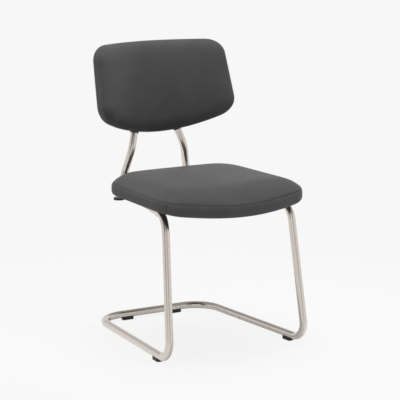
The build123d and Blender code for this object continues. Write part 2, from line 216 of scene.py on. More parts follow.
def satin_steel():
    """Stainless steel tube, belt brushed along its length: warm pale grey with fine lengthwise lines."""
    tree, shader, made = surface("satin_brushed_stainless_steel", "#d7cfc7", 0.2, 1.0)
    # The tube laid straight: across in X and Y, along in Z
    place = add(tree, "ShaderNodeAttribute", attribute_name="tube_place").outputs["Vector"]
    # Brush lines are finer than 0.2 mm; they are drawn 1.2 mm across and 150 mm long so that they show
    line_width = 1.2 * mm
    line_length = 150 * mm
    stretched = add(tree, "ShaderNodeMapping", {
        "Vector": place, "Scale": (1 / line_width, 1 / line_width, 1 / line_length)})
    lines = add(tree, "ShaderNodeTexNoise", {"Vector": stretched.outputs[0], "Scale": 1.0, "Detail": 1.0})
    gloss = add(tree, "ShaderNodeMapRange", {"Value": lines.outputs[0], "To Min": 0.18, "To Max": 0.3})
    tree.links.new(gloss.outputs[0], shader.inputs["Roughness"])
    bump = add(tree, "ShaderNodeBump", {"Strength": 0.05, "Distance": 0.05 * mm,
                                        "Height": lines.outputs[0]})
    tree.links.new(bump.outputs[0], shader.inputs["Normal"])
    return made


def black_moulding():
    """Polypropylene, injection moulded in a spark-eroded tool: black, with a fine dull texture."""
    tree, shader, made = surface("black_moulded_polypropylene", "#0d0d0e", 0.5)
    place = add(tree, "ShaderNodeTexCoord").outputs["Object"]
    # Spark pits 0.8 mm apart
    pit = 0.8 * mm
    texture = add(tree, "ShaderNodeTexNoise", {"Vector": place, "Scale": 1 / pit, "Detail": 2.0})
    gloss = add(tree, "ShaderNodeMapRange", {"Value": texture.outputs[0], "To Min": 0.4, "To Max": 0.6})
    tree.links.new(gloss.outputs[0], shader.inputs["Roughness"])
    bump = add(tree, "ShaderNodeBump", {"Strength": 0.2, "Distance": 0.08 * mm,
                                        "Height": texture.outputs[0]})
    tree.links.new(bump.outputs[0], shader.inputs["Normal"])
    return made


def zinc_steel():
    """Screw steel with clear zinc plating: cool grey, a little cloudy."""
    tree, shader, made = surface("zinc_plated_steel", "#b4b7ba", 0.34, 1.0)
    place = add(tree, "ShaderNodeTexCoord").outputs["Object"]
    # Plating clouds 3 mm across
    cloud = 3 * mm
    clouds = add(tree, "ShaderNodeTexNoise", {"Vector": place, "Scale": 1 / cloud, "Detail": 3.0})
    gloss = add(tree, "ShaderNodeMapRange", {"Value": clouds.outputs[0], "To Min": 0.26, "To Max": 0.44})
    tree.links.new(gloss.outputs[0], shader.inputs["Roughness"])
    return made


def birch_plywood():
    """Birch plywood, sanded: pale veneer with fine figure along its grain."""
    tree, shader, made = surface("sanded_birch_plywood", "#c9ab7e", 0.6)
    place = add(tree, "ShaderNodeTexCoord").outputs["Object"]
    # Grain streaks 2 mm across and 80 mm long
    streak_width = 2 * mm
    streak_length = 80 * mm
    stretched = add(tree, "ShaderNodeMapping", {
        "Vector": place, "Scale": (1 / streak_width, 1 / streak_length, 1 / streak_width)})
    grain = add(tree, "ShaderNodeTexNoise", {"Vector": stretched.outputs[0], "Scale": 1.0, "Detail": 4.0})
    tone = add(tree, "ShaderNodeValToRGB", {0: grain.outputs[0]},
               stops=[(0.3, linear("#b8966a")), (0.7, linear("#d6bc92"))])
    tree.links.new(tone.outputs[0], shader.inputs["Base Color"])
    return made


def spunbond_lining():
    """Spunbond polypropylene, the dust cover of a seat: dull black with small bonded dots."""
    tree, shader, made = surface("black_spunbond_lining", "#1d1d1e", 0.85)
    place = add(tree, "ShaderNodeTexCoord").outputs["Object"]
    # Bond dots 2 mm apart
    dot_pitch = 2 * mm
    dots = add(tree, "ShaderNodeTexVoronoi", {"Vector": place, "Scale": 1 / dot_pitch, "Randomness": 0.2})
    bump = add(tree, "ShaderNodeBump", {"Strength": 0.4, "Distance": 0.2 * mm, "Height": dots.outputs[0]})
    tree.links.new(bump.outputs[0], shader.inputs["Normal"])
    shader.inputs["Sheen Weight"].default_value = 0.1
    return made


def seam_thread():
    """Bonded polyester thread, twisted: dark grey with a slight silky sheen along its twist."""
    tree, shader, made = surface("twisted_polyester_thread", "#3d3c3b", 0.55)
    place = add(tree, "ShaderNodeTexCoord").outputs["Object"]
    # Twist ridges 0.5 mm apart
    ridge = 0.5 * mm
    ridges = add(tree, "ShaderNodeTexNoise", {"Vector": place, "Scale": 1 / ridge, "Detail": 1.0})
    tone = add(tree, "ShaderNodeValToRGB", {0: ridges.outputs[0]},
               stops=[(0.35, linear("#343332")), (0.65, linear("#464544"))])
    tree.links.new(tone.outputs[0], shader.inputs["Base Color"])
    shader.inputs["Sheen Weight"].default_value = 0.15
    return made


leather = grey_leather()
steel = satin_steel()
plastic = black_moulding()
zinc = zinc_steel()
plywood = birch_plywood()
lining_cloth = spunbond_lining()
thread = seam_thread()


# Pieces
def in_metres(points):
    """Points in millimetres as tuples in metres."""
    return [tuple(float(c) * mm for c in point) for point in points]


def piece(name, points, faces, material):
    """New smooth mesh object from points in millimetres."""
    mesh = bpy.data.meshes.new(name)
    mesh.from_pydata(in_metres(points), [], faces)
    mesh.materials.append(material)
    mesh.shade_smooth()
    made = bpy.data.objects.new(name, mesh)
    scene.collection.objects.link(made)
    return made


def stand_in(made, slot, *nodes):
    """Let a finished piece ride on the chair and stand for CAD nodes."""
    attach(made, "root")
    if nodes:
        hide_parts(*nodes)


def smooth_over(made, levels):
    """Round a piece off with a subdivision surface."""
    modifier = made.modifiers.new("round", "SUBSURF")
    modifier.levels = levels
    modifier.render_levels = levels


def geometry_tree(name, inputs):
    """New geometry tree with named inputs, given by name and socket type: the tree and its input sockets."""
    tree = bpy.data.node_groups.new(name, "GeometryNodeTree")
    tree.interface.new_socket("Geometry", in_out="INPUT", socket_type="NodeSocketGeometry")
    tree.interface.new_socket("Geometry", in_out="OUTPUT", socket_type="NodeSocketGeometry")
    for label, kind in inputs:
        tree.interface.new_socket(label, in_out="INPUT", socket_type=kind)
    return tree, add(tree, "NodeGroupInput").outputs


def run_tree(name, tree, path, values):
    """Run a geometry tree on a path and keep the plain mesh that it makes."""
    holder = bpy.data.objects.new(name + "_path", path)
    scene.collection.objects.link(holder)
    modifier = holder.modifiers.new("shape", "NODES")
    modifier.node_group = tree
    for item in tree.interface.items_tree:
        if item.in_out == "INPUT" and item.name in values:
            modifier[item.identifier] = values[item.name]
    depsgraph = bpy.context.evaluated_depsgraph_get()
    mesh = bpy.data.meshes.new_from_object(holder.evaluated_get(depsgraph), preserve_all_data_layers=True,
                                           depsgraph=depsgraph)
    bpy.data.objects.remove(holder)
    mesh.name = name
    made = bpy.data.objects.new(name, mesh)
    scene.collection.objects.link(made)
    return made


def path_mesh(name, points, closed=False):
    """Line of edges through points in millimetres."""
    count = len(points)
    edges = [(i, i + 1) for i in range(count - 1)]
    if closed:
        edges.append((count - 1, 0))
    mesh = bpy.data.meshes.new(name)
    mesh.from_pydata(in_metres(points), edges, [])
    return mesh


# Frame tube by geometry nodes
def bent_tube_tree():
    """Geometry tree of a tube: a line with a bend at each corner, and a round section along it. Each point
    keeps its place on the tube laid straight, for the brush lines."""
    tree, given = geometry_tree("bent_tube", [
        ("Diameter", "NodeSocketFloat"), ("Bend Steps", "NodeSocketInt"), ("Sides", "NodeSocketInt"),
        ("Material", "NodeSocketMaterial")])
    line = add(tree, "GeometryNodeMeshToCurve", {"Mesh": given["Geometry"]})
    bend = add(tree, "GeometryNodeInputNamedAttribute", {"Name": "bend_radius"}, data_type="FLOAT")
    bent = add(tree, "GeometryNodeFilletCurve", {
        "Curve": line.outputs[0], "Count": given["Bend Steps"], "Radius": bend.outputs[0],
        "Limit Radius": True}, mode="POLY")
    distance = add(tree, "GeometryNodeSplineParameter")
    measured = add(tree, "GeometryNodeStoreNamedAttribute", {
        "Geometry": bent.outputs[0], "Name": "along", "Value": distance.outputs["Length"]}, data_type="FLOAT")
    half = add(tree, "ShaderNodeMath", {0: given["Diameter"], 1: 0.5}, operation="MULTIPLY")
    circle = add(tree, "GeometryNodeCurvePrimitiveCircle", {
        "Resolution": given["Sides"], "Radius": half.outputs[0]})
    section_place = add(tree, "GeometryNodeInputPosition")
    section = add(tree, "GeometryNodeStoreNamedAttribute", {
        "Geometry": circle.outputs[0], "Name": "tube_place",
        "Value": section_place.outputs[0]}, data_type="FLOAT_VECTOR")
    skin = add(tree, "GeometryNodeCurveToMesh", {
        "Curve": measured.outputs[0], "Profile Curve": section.outputs[0], "Fill Caps": True})
    across = add(tree, "GeometryNodeInputNamedAttribute", {"Name": "tube_place"}, data_type="FLOAT_VECTOR")
    along = add(tree, "GeometryNodeInputNamedAttribute", {"Name": "along"}, data_type="FLOAT")
    split = add(tree, "ShaderNodeSeparateXYZ", {0: across.outputs[0]})
    laid_out = add(tree, "ShaderNodeCombineXYZ", {
        0: split.outputs[0], 1: split.outputs[1], 2: along.outputs[0]})
    placed = add(tree, "GeometryNodeStoreNamedAttribute", {
        "Geometry": skin.outputs[0], "Name": "tube_place",
        "Value": laid_out.outputs[0]}, data_type="FLOAT_VECTOR")
    # A face of the skin has at most 4 neighbours, an end cap one on each side of the section
    neighbours = add(tree, "GeometryNodeInputMeshFaceNeighbors")
    is_skin = add(tree, "FunctionNodeCompare", {0: neighbours.outputs[0], 1: 4},
                  data_type="INT", operation="LESS_EQUAL")
    shaded = add(tree, "GeometryNodeSetShadeSmooth", {
        "Geometry": placed.outputs[0], "Shade Smooth": is_skin.outputs[0]})
    real = add(tree, "GeometryNodeRealizeInstances", {"Geometry": shaded.outputs[0]})
    finished = add(tree, "GeometryNodeSetMaterial", {
        "Geometry": real.outputs[0], "Material": given["Material"]})
    add(tree, "NodeGroupOutput", {0: finished.outputs[0]})
    return tree


bent_tube = bent_tube_tree()
for side, sign in (("right", 1), ("left", -1)):
    tube_line = path_mesh("tube_line", [(sign * x, y, z) for x, y, z in tube_corners])
    bends = tube_line.attributes.new("bend_radius", "FLOAT", "POINT")
    bends.data.foreach_set("value", [radius * mm for radius in tube_bends])
    tube = run_tree("frame_tube_" + side, bent_tube, tube_line, {
        "Diameter": tube_diameter * mm, "Bend Steps": tube_bend_steps, "Sides": tube_sides,
        "Material": steel})
    stand_in(tube, "frame_steel", "side_frame_" + side)


# Outlines: the right half of a pad with bowed ends and rounded corners, mirrored
arc_points = 60


def fillet_centre(arc_centre, arc_radius, point, direction, radius):
    """Centre of a round between a bowed end and a straight side, and where it touches each."""
    inward = np.array([-direction[1], direction[0]])
    start = point + inward * radius - arc_centre
    reach = start @ direction
    root = sqrt(reach ** 2 - start @ start + (arc_radius - radius) ** 2)
    options = [arc_centre + start + direction * (-reach + sign * root) for sign in (1, -1)]
    centre = min(options, key=lambda option: np.hypot(*(option - point)))
    on_arc = arc_centre + (centre - arc_centre) / np.hypot(*(centre - arc_centre)) * arc_radius
    return centre, on_arc, centre - inward * radius


def arc_between(centre, start, stop):
    """Points along the shorter arc from start to stop."""
    first = np.arctan2(*(start - centre)[::-1])
    turn = (np.arctan2(*(stop - centre)[::-1]) - first + pi) % (2 * pi) - pi
    radius = np.hypot(*(start - centre))
    angles = first + turn * np.linspace(0, 1, arc_points)
    return np.stack([centre[0] + radius * np.cos(angles), centre[1] + radius * np.sin(angles)], 1)


def half_outline(low, high):
    """Right half of an outline from its lower middle to its upper middle; each end is a middle y,
    a half width, a bow and a corner radius. Gives the points and the middles of the two corners."""
    parts = []
    corners = []
    side_low = np.array([low[1], low[0] + low[2]])
    side_high = np.array([high[1], high[0] - high[2]])
    up = (side_high - side_low) / np.hypot(*(side_high - side_low))
    for (middle, width, bow, corner), spot, sign in ((low, side_low, 1), (high, side_high, -1)):
        radius = (width ** 2 + bow ** 2) / (2 * bow)
        arc_centre = np.array([0.0, middle + sign * radius])
        centre, on_arc, on_side = fillet_centre(arc_centre, radius, spot, up, corner)
        bowed = arc_between(arc_centre, np.array([0.0, middle]), on_arc)
        rounded = arc_between(centre, on_arc, on_side)
        corners.append(rounded[arc_points // 2])
        run = np.concatenate([bowed, rounded[1:]])
        parts.append(run if sign == 1 else run[::-1])
    return np.concatenate(parts), corners


def lengths_along(points):
    """Distance of each point along a line."""
    steps = np.hypot(*np.diff(points, axis=0).T)
    return np.concatenate([[0], np.cumsum(steps)])


def along_line(points, places):
    """Points at distances along a line."""
    lengths = lengths_along(points)
    return np.stack([np.interp(places, lengths, points[:, axis]) for axis in range(points.shape[1])], 1)


def distance_along(points, spot):
    """Distance along a line to its point nearest to a spot."""
    return lengths_along(points)[np.argmin(np.hypot(*(points - spot).T))]


def ring_of(half, corners, end_count, side_count):
    """Closed ring of points, anticlockwise from the lower left corner, evenly spaced on each side."""
    mirrored = half[::-1] * [-1, 1]
    whole = np.concatenate([mirrored, half[1:], mirrored[1:]])
    low, high = (distance_along(half, corner) for corner in corners)
    total = distance_along(half, half[-1])
    places = np.concatenate([
        np.linspace(total - low, total + low, end_count + 1)[:-1],
        np.linspace(total + low, total + high, side_count + 1)[:-1],
        np.linspace(total + high, 3 * total - high, end_count + 1)[:-1],
        np.linspace(3 * total - high, 3 * total - low, side_count + 1)[:-1]])
    return along_line(whole, places)


def room_in(points, line):
    """Distance from each point to the nearest point of a line."""
    return np.array([np.hypot(*(line - point).T).min() for point in points])


def inward_normals(ring):
    """Unit normals of an anticlockwise ring, pointing inwards."""
    tangent = np.roll(ring, -1, 0) - np.roll(ring, 1, 0)
    tangent /= np.hypot(*tangent.T)[:, None]
    return np.stack([-tangent[:, 1], tangent[:, 0]], 1)


def drawn_in(ring, inset):
    """Ring moved inwards by an inset."""
    return ring + inward_normals(ring) * inset


def patch_in(ring, end_count, side_count):
    """Grid of points that fills a ring, edges included, as rows from the lower side up."""
    lower = ring[:end_count + 1]
    right = ring[end_count:end_count + side_count + 1]
    upper = ring[end_count + side_count:2 * end_count + side_count + 1][::-1]
    left = np.concatenate([ring[2 * end_count + side_count:], ring[:1]])[::-1]
    u = np.linspace(0, 1, end_count + 1)[None, :, None]
    v = np.linspace(0, 1, side_count + 1)[:, None, None]
    blend = (1 - v) * lower[None] + v * upper[None] + (1 - u) * left[:, None] + u * right[:, None]
    return blend - ((1 - u) * (1 - v) * lower[0] + u * (1 - v) * lower[-1]
                    + (1 - u) * v * upper[0] + u * v * upper[-1])


def loop_faces(rings, count):
    """Quads between neighbouring rings of the same count, numbered ring by ring."""
    return [(ring * count + i, ring * count + (i + 1) % count,
             (ring + 1) * count + (i + 1) % count, (ring + 1) * count + i)
            for ring in range(rings - 1) for i in range(count)]


def turned_over(faces):
    """Faces that point the other way."""
    return [face[::-1] for face in faces]


def filled_panel(ring, insets, end_count, side_count):
    """Flat plan of a panel: rings at the given insets and a grid inside. Gives the points, the faces and each
    point's ring."""
    normals = inward_normals(ring)
    rings = [ring + normals * inset for inset in insets]
    count = len(ring)
    grid = patch_in(rings[-1], end_count, side_count)
    points = np.concatenate(rings + [grid[1:-1, 1:-1].reshape(-1, 2)])
    faces = loop_faces(len(rings), count)
    last = (len(rings) - 1) * count
    inner = last + count
    numbers = np.zeros((side_count + 1, end_count + 1), int)
    numbers[0] = last + np.arange(end_count + 1)
    numbers[:, -1] = last + end_count + np.arange(side_count + 1)
    numbers[-1] = (last + end_count + side_count + np.arange(end_count + 1))[::-1]
    numbers[:, 0] = (last + (2 * end_count + side_count + np.arange(side_count + 1)) % count)[::-1]
    numbers[1:-1, 1:-1] = inner + np.arange((side_count - 1) * (end_count - 1)).reshape(side_count - 1, -1)
    corners = np.stack([numbers[:-1, :-1], numbers[:-1, 1:], numbers[1:, 1:], numbers[1:, :-1]], 2)
    faces += [tuple(face) for face in corners.reshape(-1, 4).tolist()]
    ring_numbers = np.concatenate([np.repeat(np.arange(len(rings)), count),
                                   np.full(len(points) - len(rings) * count, len(rings))])
    return points, faces, ring_numbers


def swell(made, sewn, limit):
    """Fill a cover by cloth pressure. Sewn points stay, the foam keeps every point from sinking in, no point
    moves further than the limit, and the leather's stiffness evens the swelling out."""
    count = len(made.data.vertices)
    start = np.zeros(count * 3)
    made.data.vertices.foreach_get("co", start)
    outward = np.zeros(count * 3)
    made.data.vertex_normals.foreach_get("vector", outward)
    outward = outward.reshape(-1, 3)
    group = made.vertex_groups.new(name="sewn")
    group.add([int(number) for number in sewn], 1.0, "ADD")
    cloth = made.modifiers.new("swell", "CLOTH")
    cloth.settings.vertex_group_mass = "sewn"
    cloth.settings.use_pressure = True
    cloth.settings.uniform_pressure_force = swell_pressure
    cloth.settings.effector_weights.gravity = 0.0
    cloth.settings.quality = swell_quality
    cloth.point_cache.frame_start = 1
    cloth.point_cache.frame_end = swell_frames
    for number in range(1, swell_frames + 1):
        scene.frame_set(number)
    evaluated = made.evaluated_get(bpy.context.evaluated_depsgraph_get())
    moved = np.zeros(count * 3)
    evaluated.data.vertices.foreach_get("co", moved)
    made.modifiers.remove(cloth)
    made.vertex_groups.remove(group)
    scene.frame_set(1)
    shift = (moved - start).reshape(-1, 3)
    shift -= outward * np.minimum((shift * outward).sum(1), 0)[:, None]
    tiny = 1e-9
    length = np.maximum(np.linalg.norm(shift, axis=1), tiny)
    shift *= (limit * mm * np.tanh(length / (limit * mm)) / length)[:, None]
    places = start.reshape(-1, 3)
    first, second = np.array([edge.vertices[:] for edge in made.data.edges]).T
    nearness = 1 / np.linalg.norm(places[first] - places[second], axis=1)[:, None]
    total = np.zeros((count, 1))
    np.add.at(total, first, nearness)
    np.add.at(total, second, nearness)
    for _ in range(swell_even_passes):
        evened = np.zeros((count, 3))
        np.add.at(evened, first, nearness * shift[second])
        np.add.at(evened, second, nearness * shift[first])
        shift = evened / total
        shift[sewn] = 0.0
    made.data.vertices.foreach_set("co", (places + shift).ravel())
    made.data.update()


def filled_cover(name, points, faces, sewn, limit):
    """Leather cover over foam: swollen by cloth pressure where it isn't sewn, and rounded off."""
    made = piece(name, points, faces, leather)
    swell(made, np.nonzero(sewn)[0], limit)
    smooth_over(made, 2)
    return made


# Seat
seat_half, seat_corners = half_outline(
    (seat_front_y, seat_front_half_width, seat_front_bow, seat_front_corner),
    (seat_rear_y, seat_rear_half_width, seat_rear_bow, seat_rear_corner))
seat_half_length = distance_along(seat_half, seat_half[-1])
seat_ends = 44
seat_sides = 44
seat_edge_points = 400
seat_ring = ring_of(seat_half, seat_corners, seat_ends, seat_sides)
seat_right_edge = along_line(seat_half, np.linspace(0, seat_half_length, seat_edge_points))
seat_edge = np.concatenate([seat_right_edge, seat_right_edge * [-1, 1]])


def layer_height(y, offset):
    """Height of a seat layer at an offset from the seam, lower over the waterfall front."""
    ahead = np.maximum(waterfall_start_y - y, 0)
    return seat_seam_height - waterfall_radius + np.sqrt((waterfall_radius + offset) ** 2 - ahead ** 2)


def on_layer(plan, offset):
    """Points of a seat layer above their places in plan."""
    return np.column_stack([plan, layer_height(plan[:, 1], offset)])


def dome_share(room, width):
    """Share of the dome's height at a distance in from its edge."""
    return 1 - (1 - np.clip(room / width, 0, 1)) ** seat_dome_power


def dome_height(points):
    """Height of the seat's domed top over its seam: an arch each way, blended with a pillow of even edges."""
    x, y = points.T
    reach = np.interp(y, seat_half[:, 1], seat_half[:, 0]) - seat_seam_inset
    side_width = np.minimum(seat_side_width, seat_side_share * np.maximum(reach, 1.0))
    across = dome_share(reach - np.abs(x), side_width)
    lengthways = (dome_share(y - seat_front_y - seat_seam_inset, seat_front_width)
                  * dome_share(seat_rear_y - y - seat_seam_inset, seat_dome_width))
    arches = across * lengthways
    pillow = dome_share(room_in(points, seat_edge) - seat_seam_inset, seat_dome_width)
    return seat_dome_height * ((1 - seat_pillow_share) * arches + seat_pillow_share * pillow)


# Top panel: inset and height of each ring of its folded edge, outwards and up, then the insets further in
fold = [(1.4, -2.1), (0.7, -1.0), (0.35, -0.1), (0.75, 0.5)]
fold_insets = [inset for inset, height in fold]
rise_insets = [2.4, 4.5, 8.0, 13.0, 19.0, 26.0, 34.0]
top_insets = [inset + seat_seam_inset for inset in fold_insets + rise_insets]
top_plan, top_faces, top_rings = filled_panel(seat_ring, top_insets, seat_ends, seat_sides)
top_heights = dome_height(top_plan)
for number, (inset, height) in enumerate(fold):
    top_heights[top_rings == number] = height
top_points = on_layer(top_plan, 0.0)
top_points[:, 2] += top_heights
top_sewn = top_rings <= len(fold) + 1
seat_top = filled_cover("seat_top_cover", top_points, top_faces, top_sewn, seat_swell_limit)
stand_in(seat_top, "upholstery", "seat_cushion")

# Side band: points along its right half, closer together at the seam down the front corner
seam_place = distance_along(seat_half, np.array(corner_seam_spot))
seam_steps = np.array([-6.0, -4.0, -2.6, -1.6, -0.8, 0.0, 0.8, 1.6, 2.6, 4.0, 6.0])
band_front_points = 32
band_side_points = 78
half_places = np.concatenate([
    np.linspace(0, seam_place - corner_seam_clear, band_front_points),
    seam_place + seam_steps,
    np.linspace(seam_place + corner_seam_clear, seat_half_length, band_side_points)])
seam_distance = np.abs(half_places - seam_place)
pull = (corner_seam_depth * np.exp(-(seam_distance / corner_seam_width) ** 2)
        - corner_lip_height * np.exp(-((seam_distance - corner_lip_place) / corner_lip_width) ** 2))
inner_pull_share = 0.4
band_right = along_line(seat_half, half_places)
band_ring = np.concatenate([(band_right * [-1, 1])[::-1][:-1], band_right[:-1]])
band_pull = np.concatenate([pull[::-1][:-1], pull[:-1]])
band_normals = inward_normals(band_ring)
# Inset and height of each ring below the seam, from inside the seam out, down and under
band_profile = [
    (7.3, -2.5), (6.5, -1.5), (5.75, -0.75), (5.1, -0.8), (4.1, -1.7), (2.2, -4.0), (1.0, -5.9), (0.25, -8.0),
    (0.0, -10.5), (0.0, -16.0), (0.0, -21.0), (0.0, -24.5), (0.5, -27.8), (2.2, -30.6), (5.0, -32.3),
    (8.5, -32.7), (lining_inset + 1.0, -32.7)]
band_points = []
for inset, height in band_profile:
    pull_share = 1.0 if inset < seat_seam_inset else inner_pull_share
    flat = band_ring + band_normals * (inset + pull_share * band_pull)[:, None]
    band_points.append(on_layer(flat, height))
band_faces = turned_over(loop_faces(len(band_profile), len(band_ring)))
seat_band = piece("seat_band_cover", np.concatenate(band_points), band_faces, leather)
smooth_over(seat_band, 1)
stand_in(seat_band, "upholstery", "seat_side_band")

# Lining stretched under the seat
lining_ring = drawn_in(seat_ring, lining_inset)
lining_insets = [0.0, 12.0, 30.0]
lining_plan, lining_faces, _ = filled_panel(lining_ring, lining_insets, seat_ends, seat_sides)
lining_points = on_layer(lining_plan, lining_gap - seat_band_height)
lining = piece("seat_lining", lining_points, turned_over(lining_faces), lining_cloth)
stand_in(lining, "lining", "seat_underside_cover")

# Backrest
back_half, back_corners = half_outline((back_bottom, back_bottom_half_width, back_bottom_bow, back_corner),
                                       (back_top, back_top_half_width, back_top_bow, back_corner))
back_ends = 44
back_sides = 26
depth_direction = Vector((0.0, cos(back_lean), -sin(back_lean)))
lean_direction = Vector((0.0, sin(back_lean), cos(back_lean)))


def rim_share(height):
    """Share of the backrest's depth that is left at a height, less near its rounded rim."""
    room = np.where(height > 0, back_top - height, height - back_bottom)
    room = np.minimum(room, back_rim_round) / back_rim_round
    return np.maximum(np.sqrt(np.maximum(1 - (1 - room) ** 2, 0)), back_rim_least_share)


def laid_flat(outline):
    """Outline with its widths measured along the backrest's curve, away from its flat middle."""
    nose = back_half_depth * rim_share(outline[:, 1]) * back_nose_share
    wide = np.maximum(outline[:, 0] - back_nose_share * nose, 0)
    spread = back_curve_radius * np.arcsin(wide / back_curve_radius) + nose
    return np.column_stack([np.where(outline[:, 0] > back_flat_half_width, spread, outline[:, 0]),
                            outline[:, 1]])


flat_half = laid_flat(back_half)
flat_corners = [laid_flat(np.array([corner]))[0] for corner in back_corners]
back_ring = ring_of(flat_half, flat_corners, back_ends, back_sides)


def on_backrest(plan, offset):
    """Points of the backrest from their places along its curve and up its lean, out from its middle layer."""
    spread, height = plan.T
    angle = spread / back_curve_radius
    radius = back_curve_radius + offset
    x = radius * np.sin(angle)
    depth = back_half_depth - back_curve_radius + radius * np.cos(angle)
    return (np.array(back_middle)[None] + x[:, None] * [1, 0, 0]
            + depth[:, None] * np.array(depth_direction) + height[:, None] * np.array(lean_direction))


def back_cover(rim, offset_of):
    """Points, faces and ring numbers of a backrest cover; its rim lists insets and shares of the depth."""
    plan, faces, rings = filled_panel(back_ring, [inset for inset, share in rim], back_ends, back_sides)
    shares = np.array([share for inset, share in rim] + [1.0])[rings]
    return on_backrest(plan, offset_of(plan, shares)), faces, rings


def front_offset(plan, share):
    """Offset of the front face from the middle layer, crowned up the lean."""
    height = plan[:, 1]
    return -back_half_depth * share - back_crown * share ** 2 * (1 - (height / back_top) ** 2)


def rear_offset(plan, share):
    """Offset of the rear face from the middle layer, most in the middle; its edge turns to the front."""
    spread, height = plan.T
    reach = np.interp(height, flat_half[:, 1], flat_half[:, 0]) - back_nose_share * back_half_depth
    extra = back_extra_depth * np.maximum(1 - (spread / np.maximum(reach, 1.0)) ** 2, 0)
    return share * np.where(share < 0, back_half_depth, back_half_depth + extra)


# Rims of the two covers: their seam lies a little ahead of the middle layer, and both dip into it
seam_dips = [0.9, 0.25, 0.0]
seam_share = back_seam_offset / back_half_depth
front_start = back_front_round * (1 - (1 - seam_share ** 2) ** (1 / back_front_power))
front_steps = [0.0, 0.3, 0.9, 2.4, 5.0, 9.0, 14.0, 21.0, 30.0, 42.0]
front_rooms = [front_start + step for step in front_steps] + [back_front_round]
front_rim = [[room, sqrt(1 - (1 - room / back_front_round) ** back_front_power)] for room in front_rooms]
seam_turn = asin(seam_share)
rear_steps = [0.0, 0.06, 0.16, 0.35, 0.6, 0.9, 1.2, 1.5]
rear_turns = [seam_turn + step for step in rear_steps] + [pi / 2]
rear_rim = [[back_rim_round * (1 - cos(turn)), sin(turn)] for turn in rear_turns]
rear_rim += [[back_rim_round + step, 1.0] for step in (8.0, 18.0)]
for rim in (front_rim, rear_rim):
    for ring, dip in zip(rim, seam_dips):
        ring[0] += dip

front_sewn_rings = 6
front_points, front_faces, front_rings = back_cover(front_rim, front_offset)
front_sewn = front_rings < front_sewn_rings
back_front = filled_cover("back_front_cover", front_points, front_faces, front_sewn, back_swell_limit)
stand_in(back_front, "upholstery", "back_front_cushion")

rear_sewn_rings = 5
rear_points, rear_faces, rear_rings = back_cover(rear_rim, rear_offset)
rear_sewn = rear_rings < rear_sewn_rings
back_rear = filled_cover("back_rear_cover", rear_points, turned_over(rear_faces), rear_sewn, back_swell_limit)
stand_in(back_rear, "upholstery", "back_rear_cushion")


# Small repeated pieces by geometry nodes: a shape on each point, facing out of the surface and along its line
def placing_tree(name, even_steps):
    """Geometry tree that sets a shape on the points of a line, at even steps where asked."""
    inputs = [("Shape", "NodeSocketObject"), ("Material", "NodeSocketMaterial")]
    if even_steps:
        inputs.append(("Pitch", "NodeSocketFloat"))
    tree, given = geometry_tree(name, inputs)
    points = given["Geometry"]
    if even_steps:
        line = add(tree, "GeometryNodeMeshToCurve", {"Mesh": points})
        points = add(tree, "GeometryNodeResampleCurve", {
            "Curve": line.outputs[0], "Length": given["Pitch"]}, mode="LENGTH").outputs[0]
    facing = add(tree, "GeometryNodeInputNamedAttribute", {"Name": "facing"}, data_type="FLOAT_VECTOR")
    upright = add(tree, "FunctionNodeAlignRotationToVector", {"Vector": facing.outputs[0]}, axis="Z")
    onward = add(tree, "GeometryNodeInputNamedAttribute", {"Name": "onward"}, data_type="FLOAT_VECTOR")
    turned = add(tree, "FunctionNodeAlignRotationToVector", {
        "Rotation": upright.outputs[0], "Vector": onward.outputs[0]}, axis="X", pivot_axis="Z")
    shape = add(tree, "GeometryNodeObjectInfo", {"Object": given["Shape"]})
    placed = add(tree, "GeometryNodeInstanceOnPoints", {
        "Points": points, "Instance": shape.outputs["Geometry"], "Rotation": turned.outputs[0]})
    real = add(tree, "GeometryNodeRealizeInstances", {"Geometry": placed.outputs[0]})
    finished = add(tree, "GeometryNodeSetMaterial", {
        "Geometry": real.outputs[0], "Material": given["Material"]})
    add(tree, "NodeGroupOutput", {0: finished.outputs[0]})
    return tree


def set_along(name, tree, shape, points, facing, onward, values):
    """Run a placing tree on points with their directions and keep the mesh. A line with a pitch is closed."""
    path = path_mesh(name, points, closed="Pitch" in values)
    for label, vectors in (("facing", facing), ("onward", onward)):
        flat = np.asarray(vectors, float).ravel()
        path.attributes.new(label, "FLOAT_VECTOR", "POINT").data.foreach_set("vector", flat)
    made = run_tree(name, tree, path, {"Shape": shape, **values})
    bpy.data.objects.remove(shape)
    return made


def round_bar(name, points, radius, material):
    """Closed bar of round section through points."""
    points = np.asarray(points, float)
    along = np.gradient(points, axis=0)
    along /= np.linalg.norm(along, axis=1)[:, None]
    # A slight tilt gives upright runs a side too
    tilt = 1e-3
    side = np.cross(along, [0.0, 0.0, 1.0]) + np.cross(along, [0.0, 1.0, 0.0]) * tilt
    side /= np.linalg.norm(side, axis=1)[:, None]
    rise = np.cross(side, along)
    turns = 2 * pi * np.arange(bar_sides) / bar_sides
    rings = [spot + radius * (np.outer(np.cos(turns), across) + np.outer(np.sin(turns), upward))
             for spot, across, upward in zip(points, side, rise)]
    last = (len(points) - 1) * bar_sides
    caps = [tuple(range(bar_sides)), tuple(range(last + bar_sides - 1, last - 1, -1))]
    faces = turned_over(loop_faces(len(points), bar_sides)) + caps
    return piece(name, np.concatenate(rings), faces, material)


def ring_onward(points):
    """Directions along a closed ring of points."""
    return np.roll(points, -1, 0) - np.roll(points, 1, 0)


rows = placing_tree("row_along_seam", True)
spots = placing_tree("set_on_spots", False)


# Thread that shows in the seams, across them
def seam_stitches(name, line, facing):
    """Row of stitches along a closed seam."""
    bend = [(0, -1.5, -0.9), (0, -0.8, -0.1), (0, 0.8, -0.1), (0, 1.5, -0.9)]
    stitch = round_bar("stitch", bend, thread_radius, thread)
    made = set_along(name, rows, stitch, line, facing, ring_onward(line),
                     {"Pitch": stitch_pitch * mm, "Material": thread})
    stand_in(made, "upholstery")


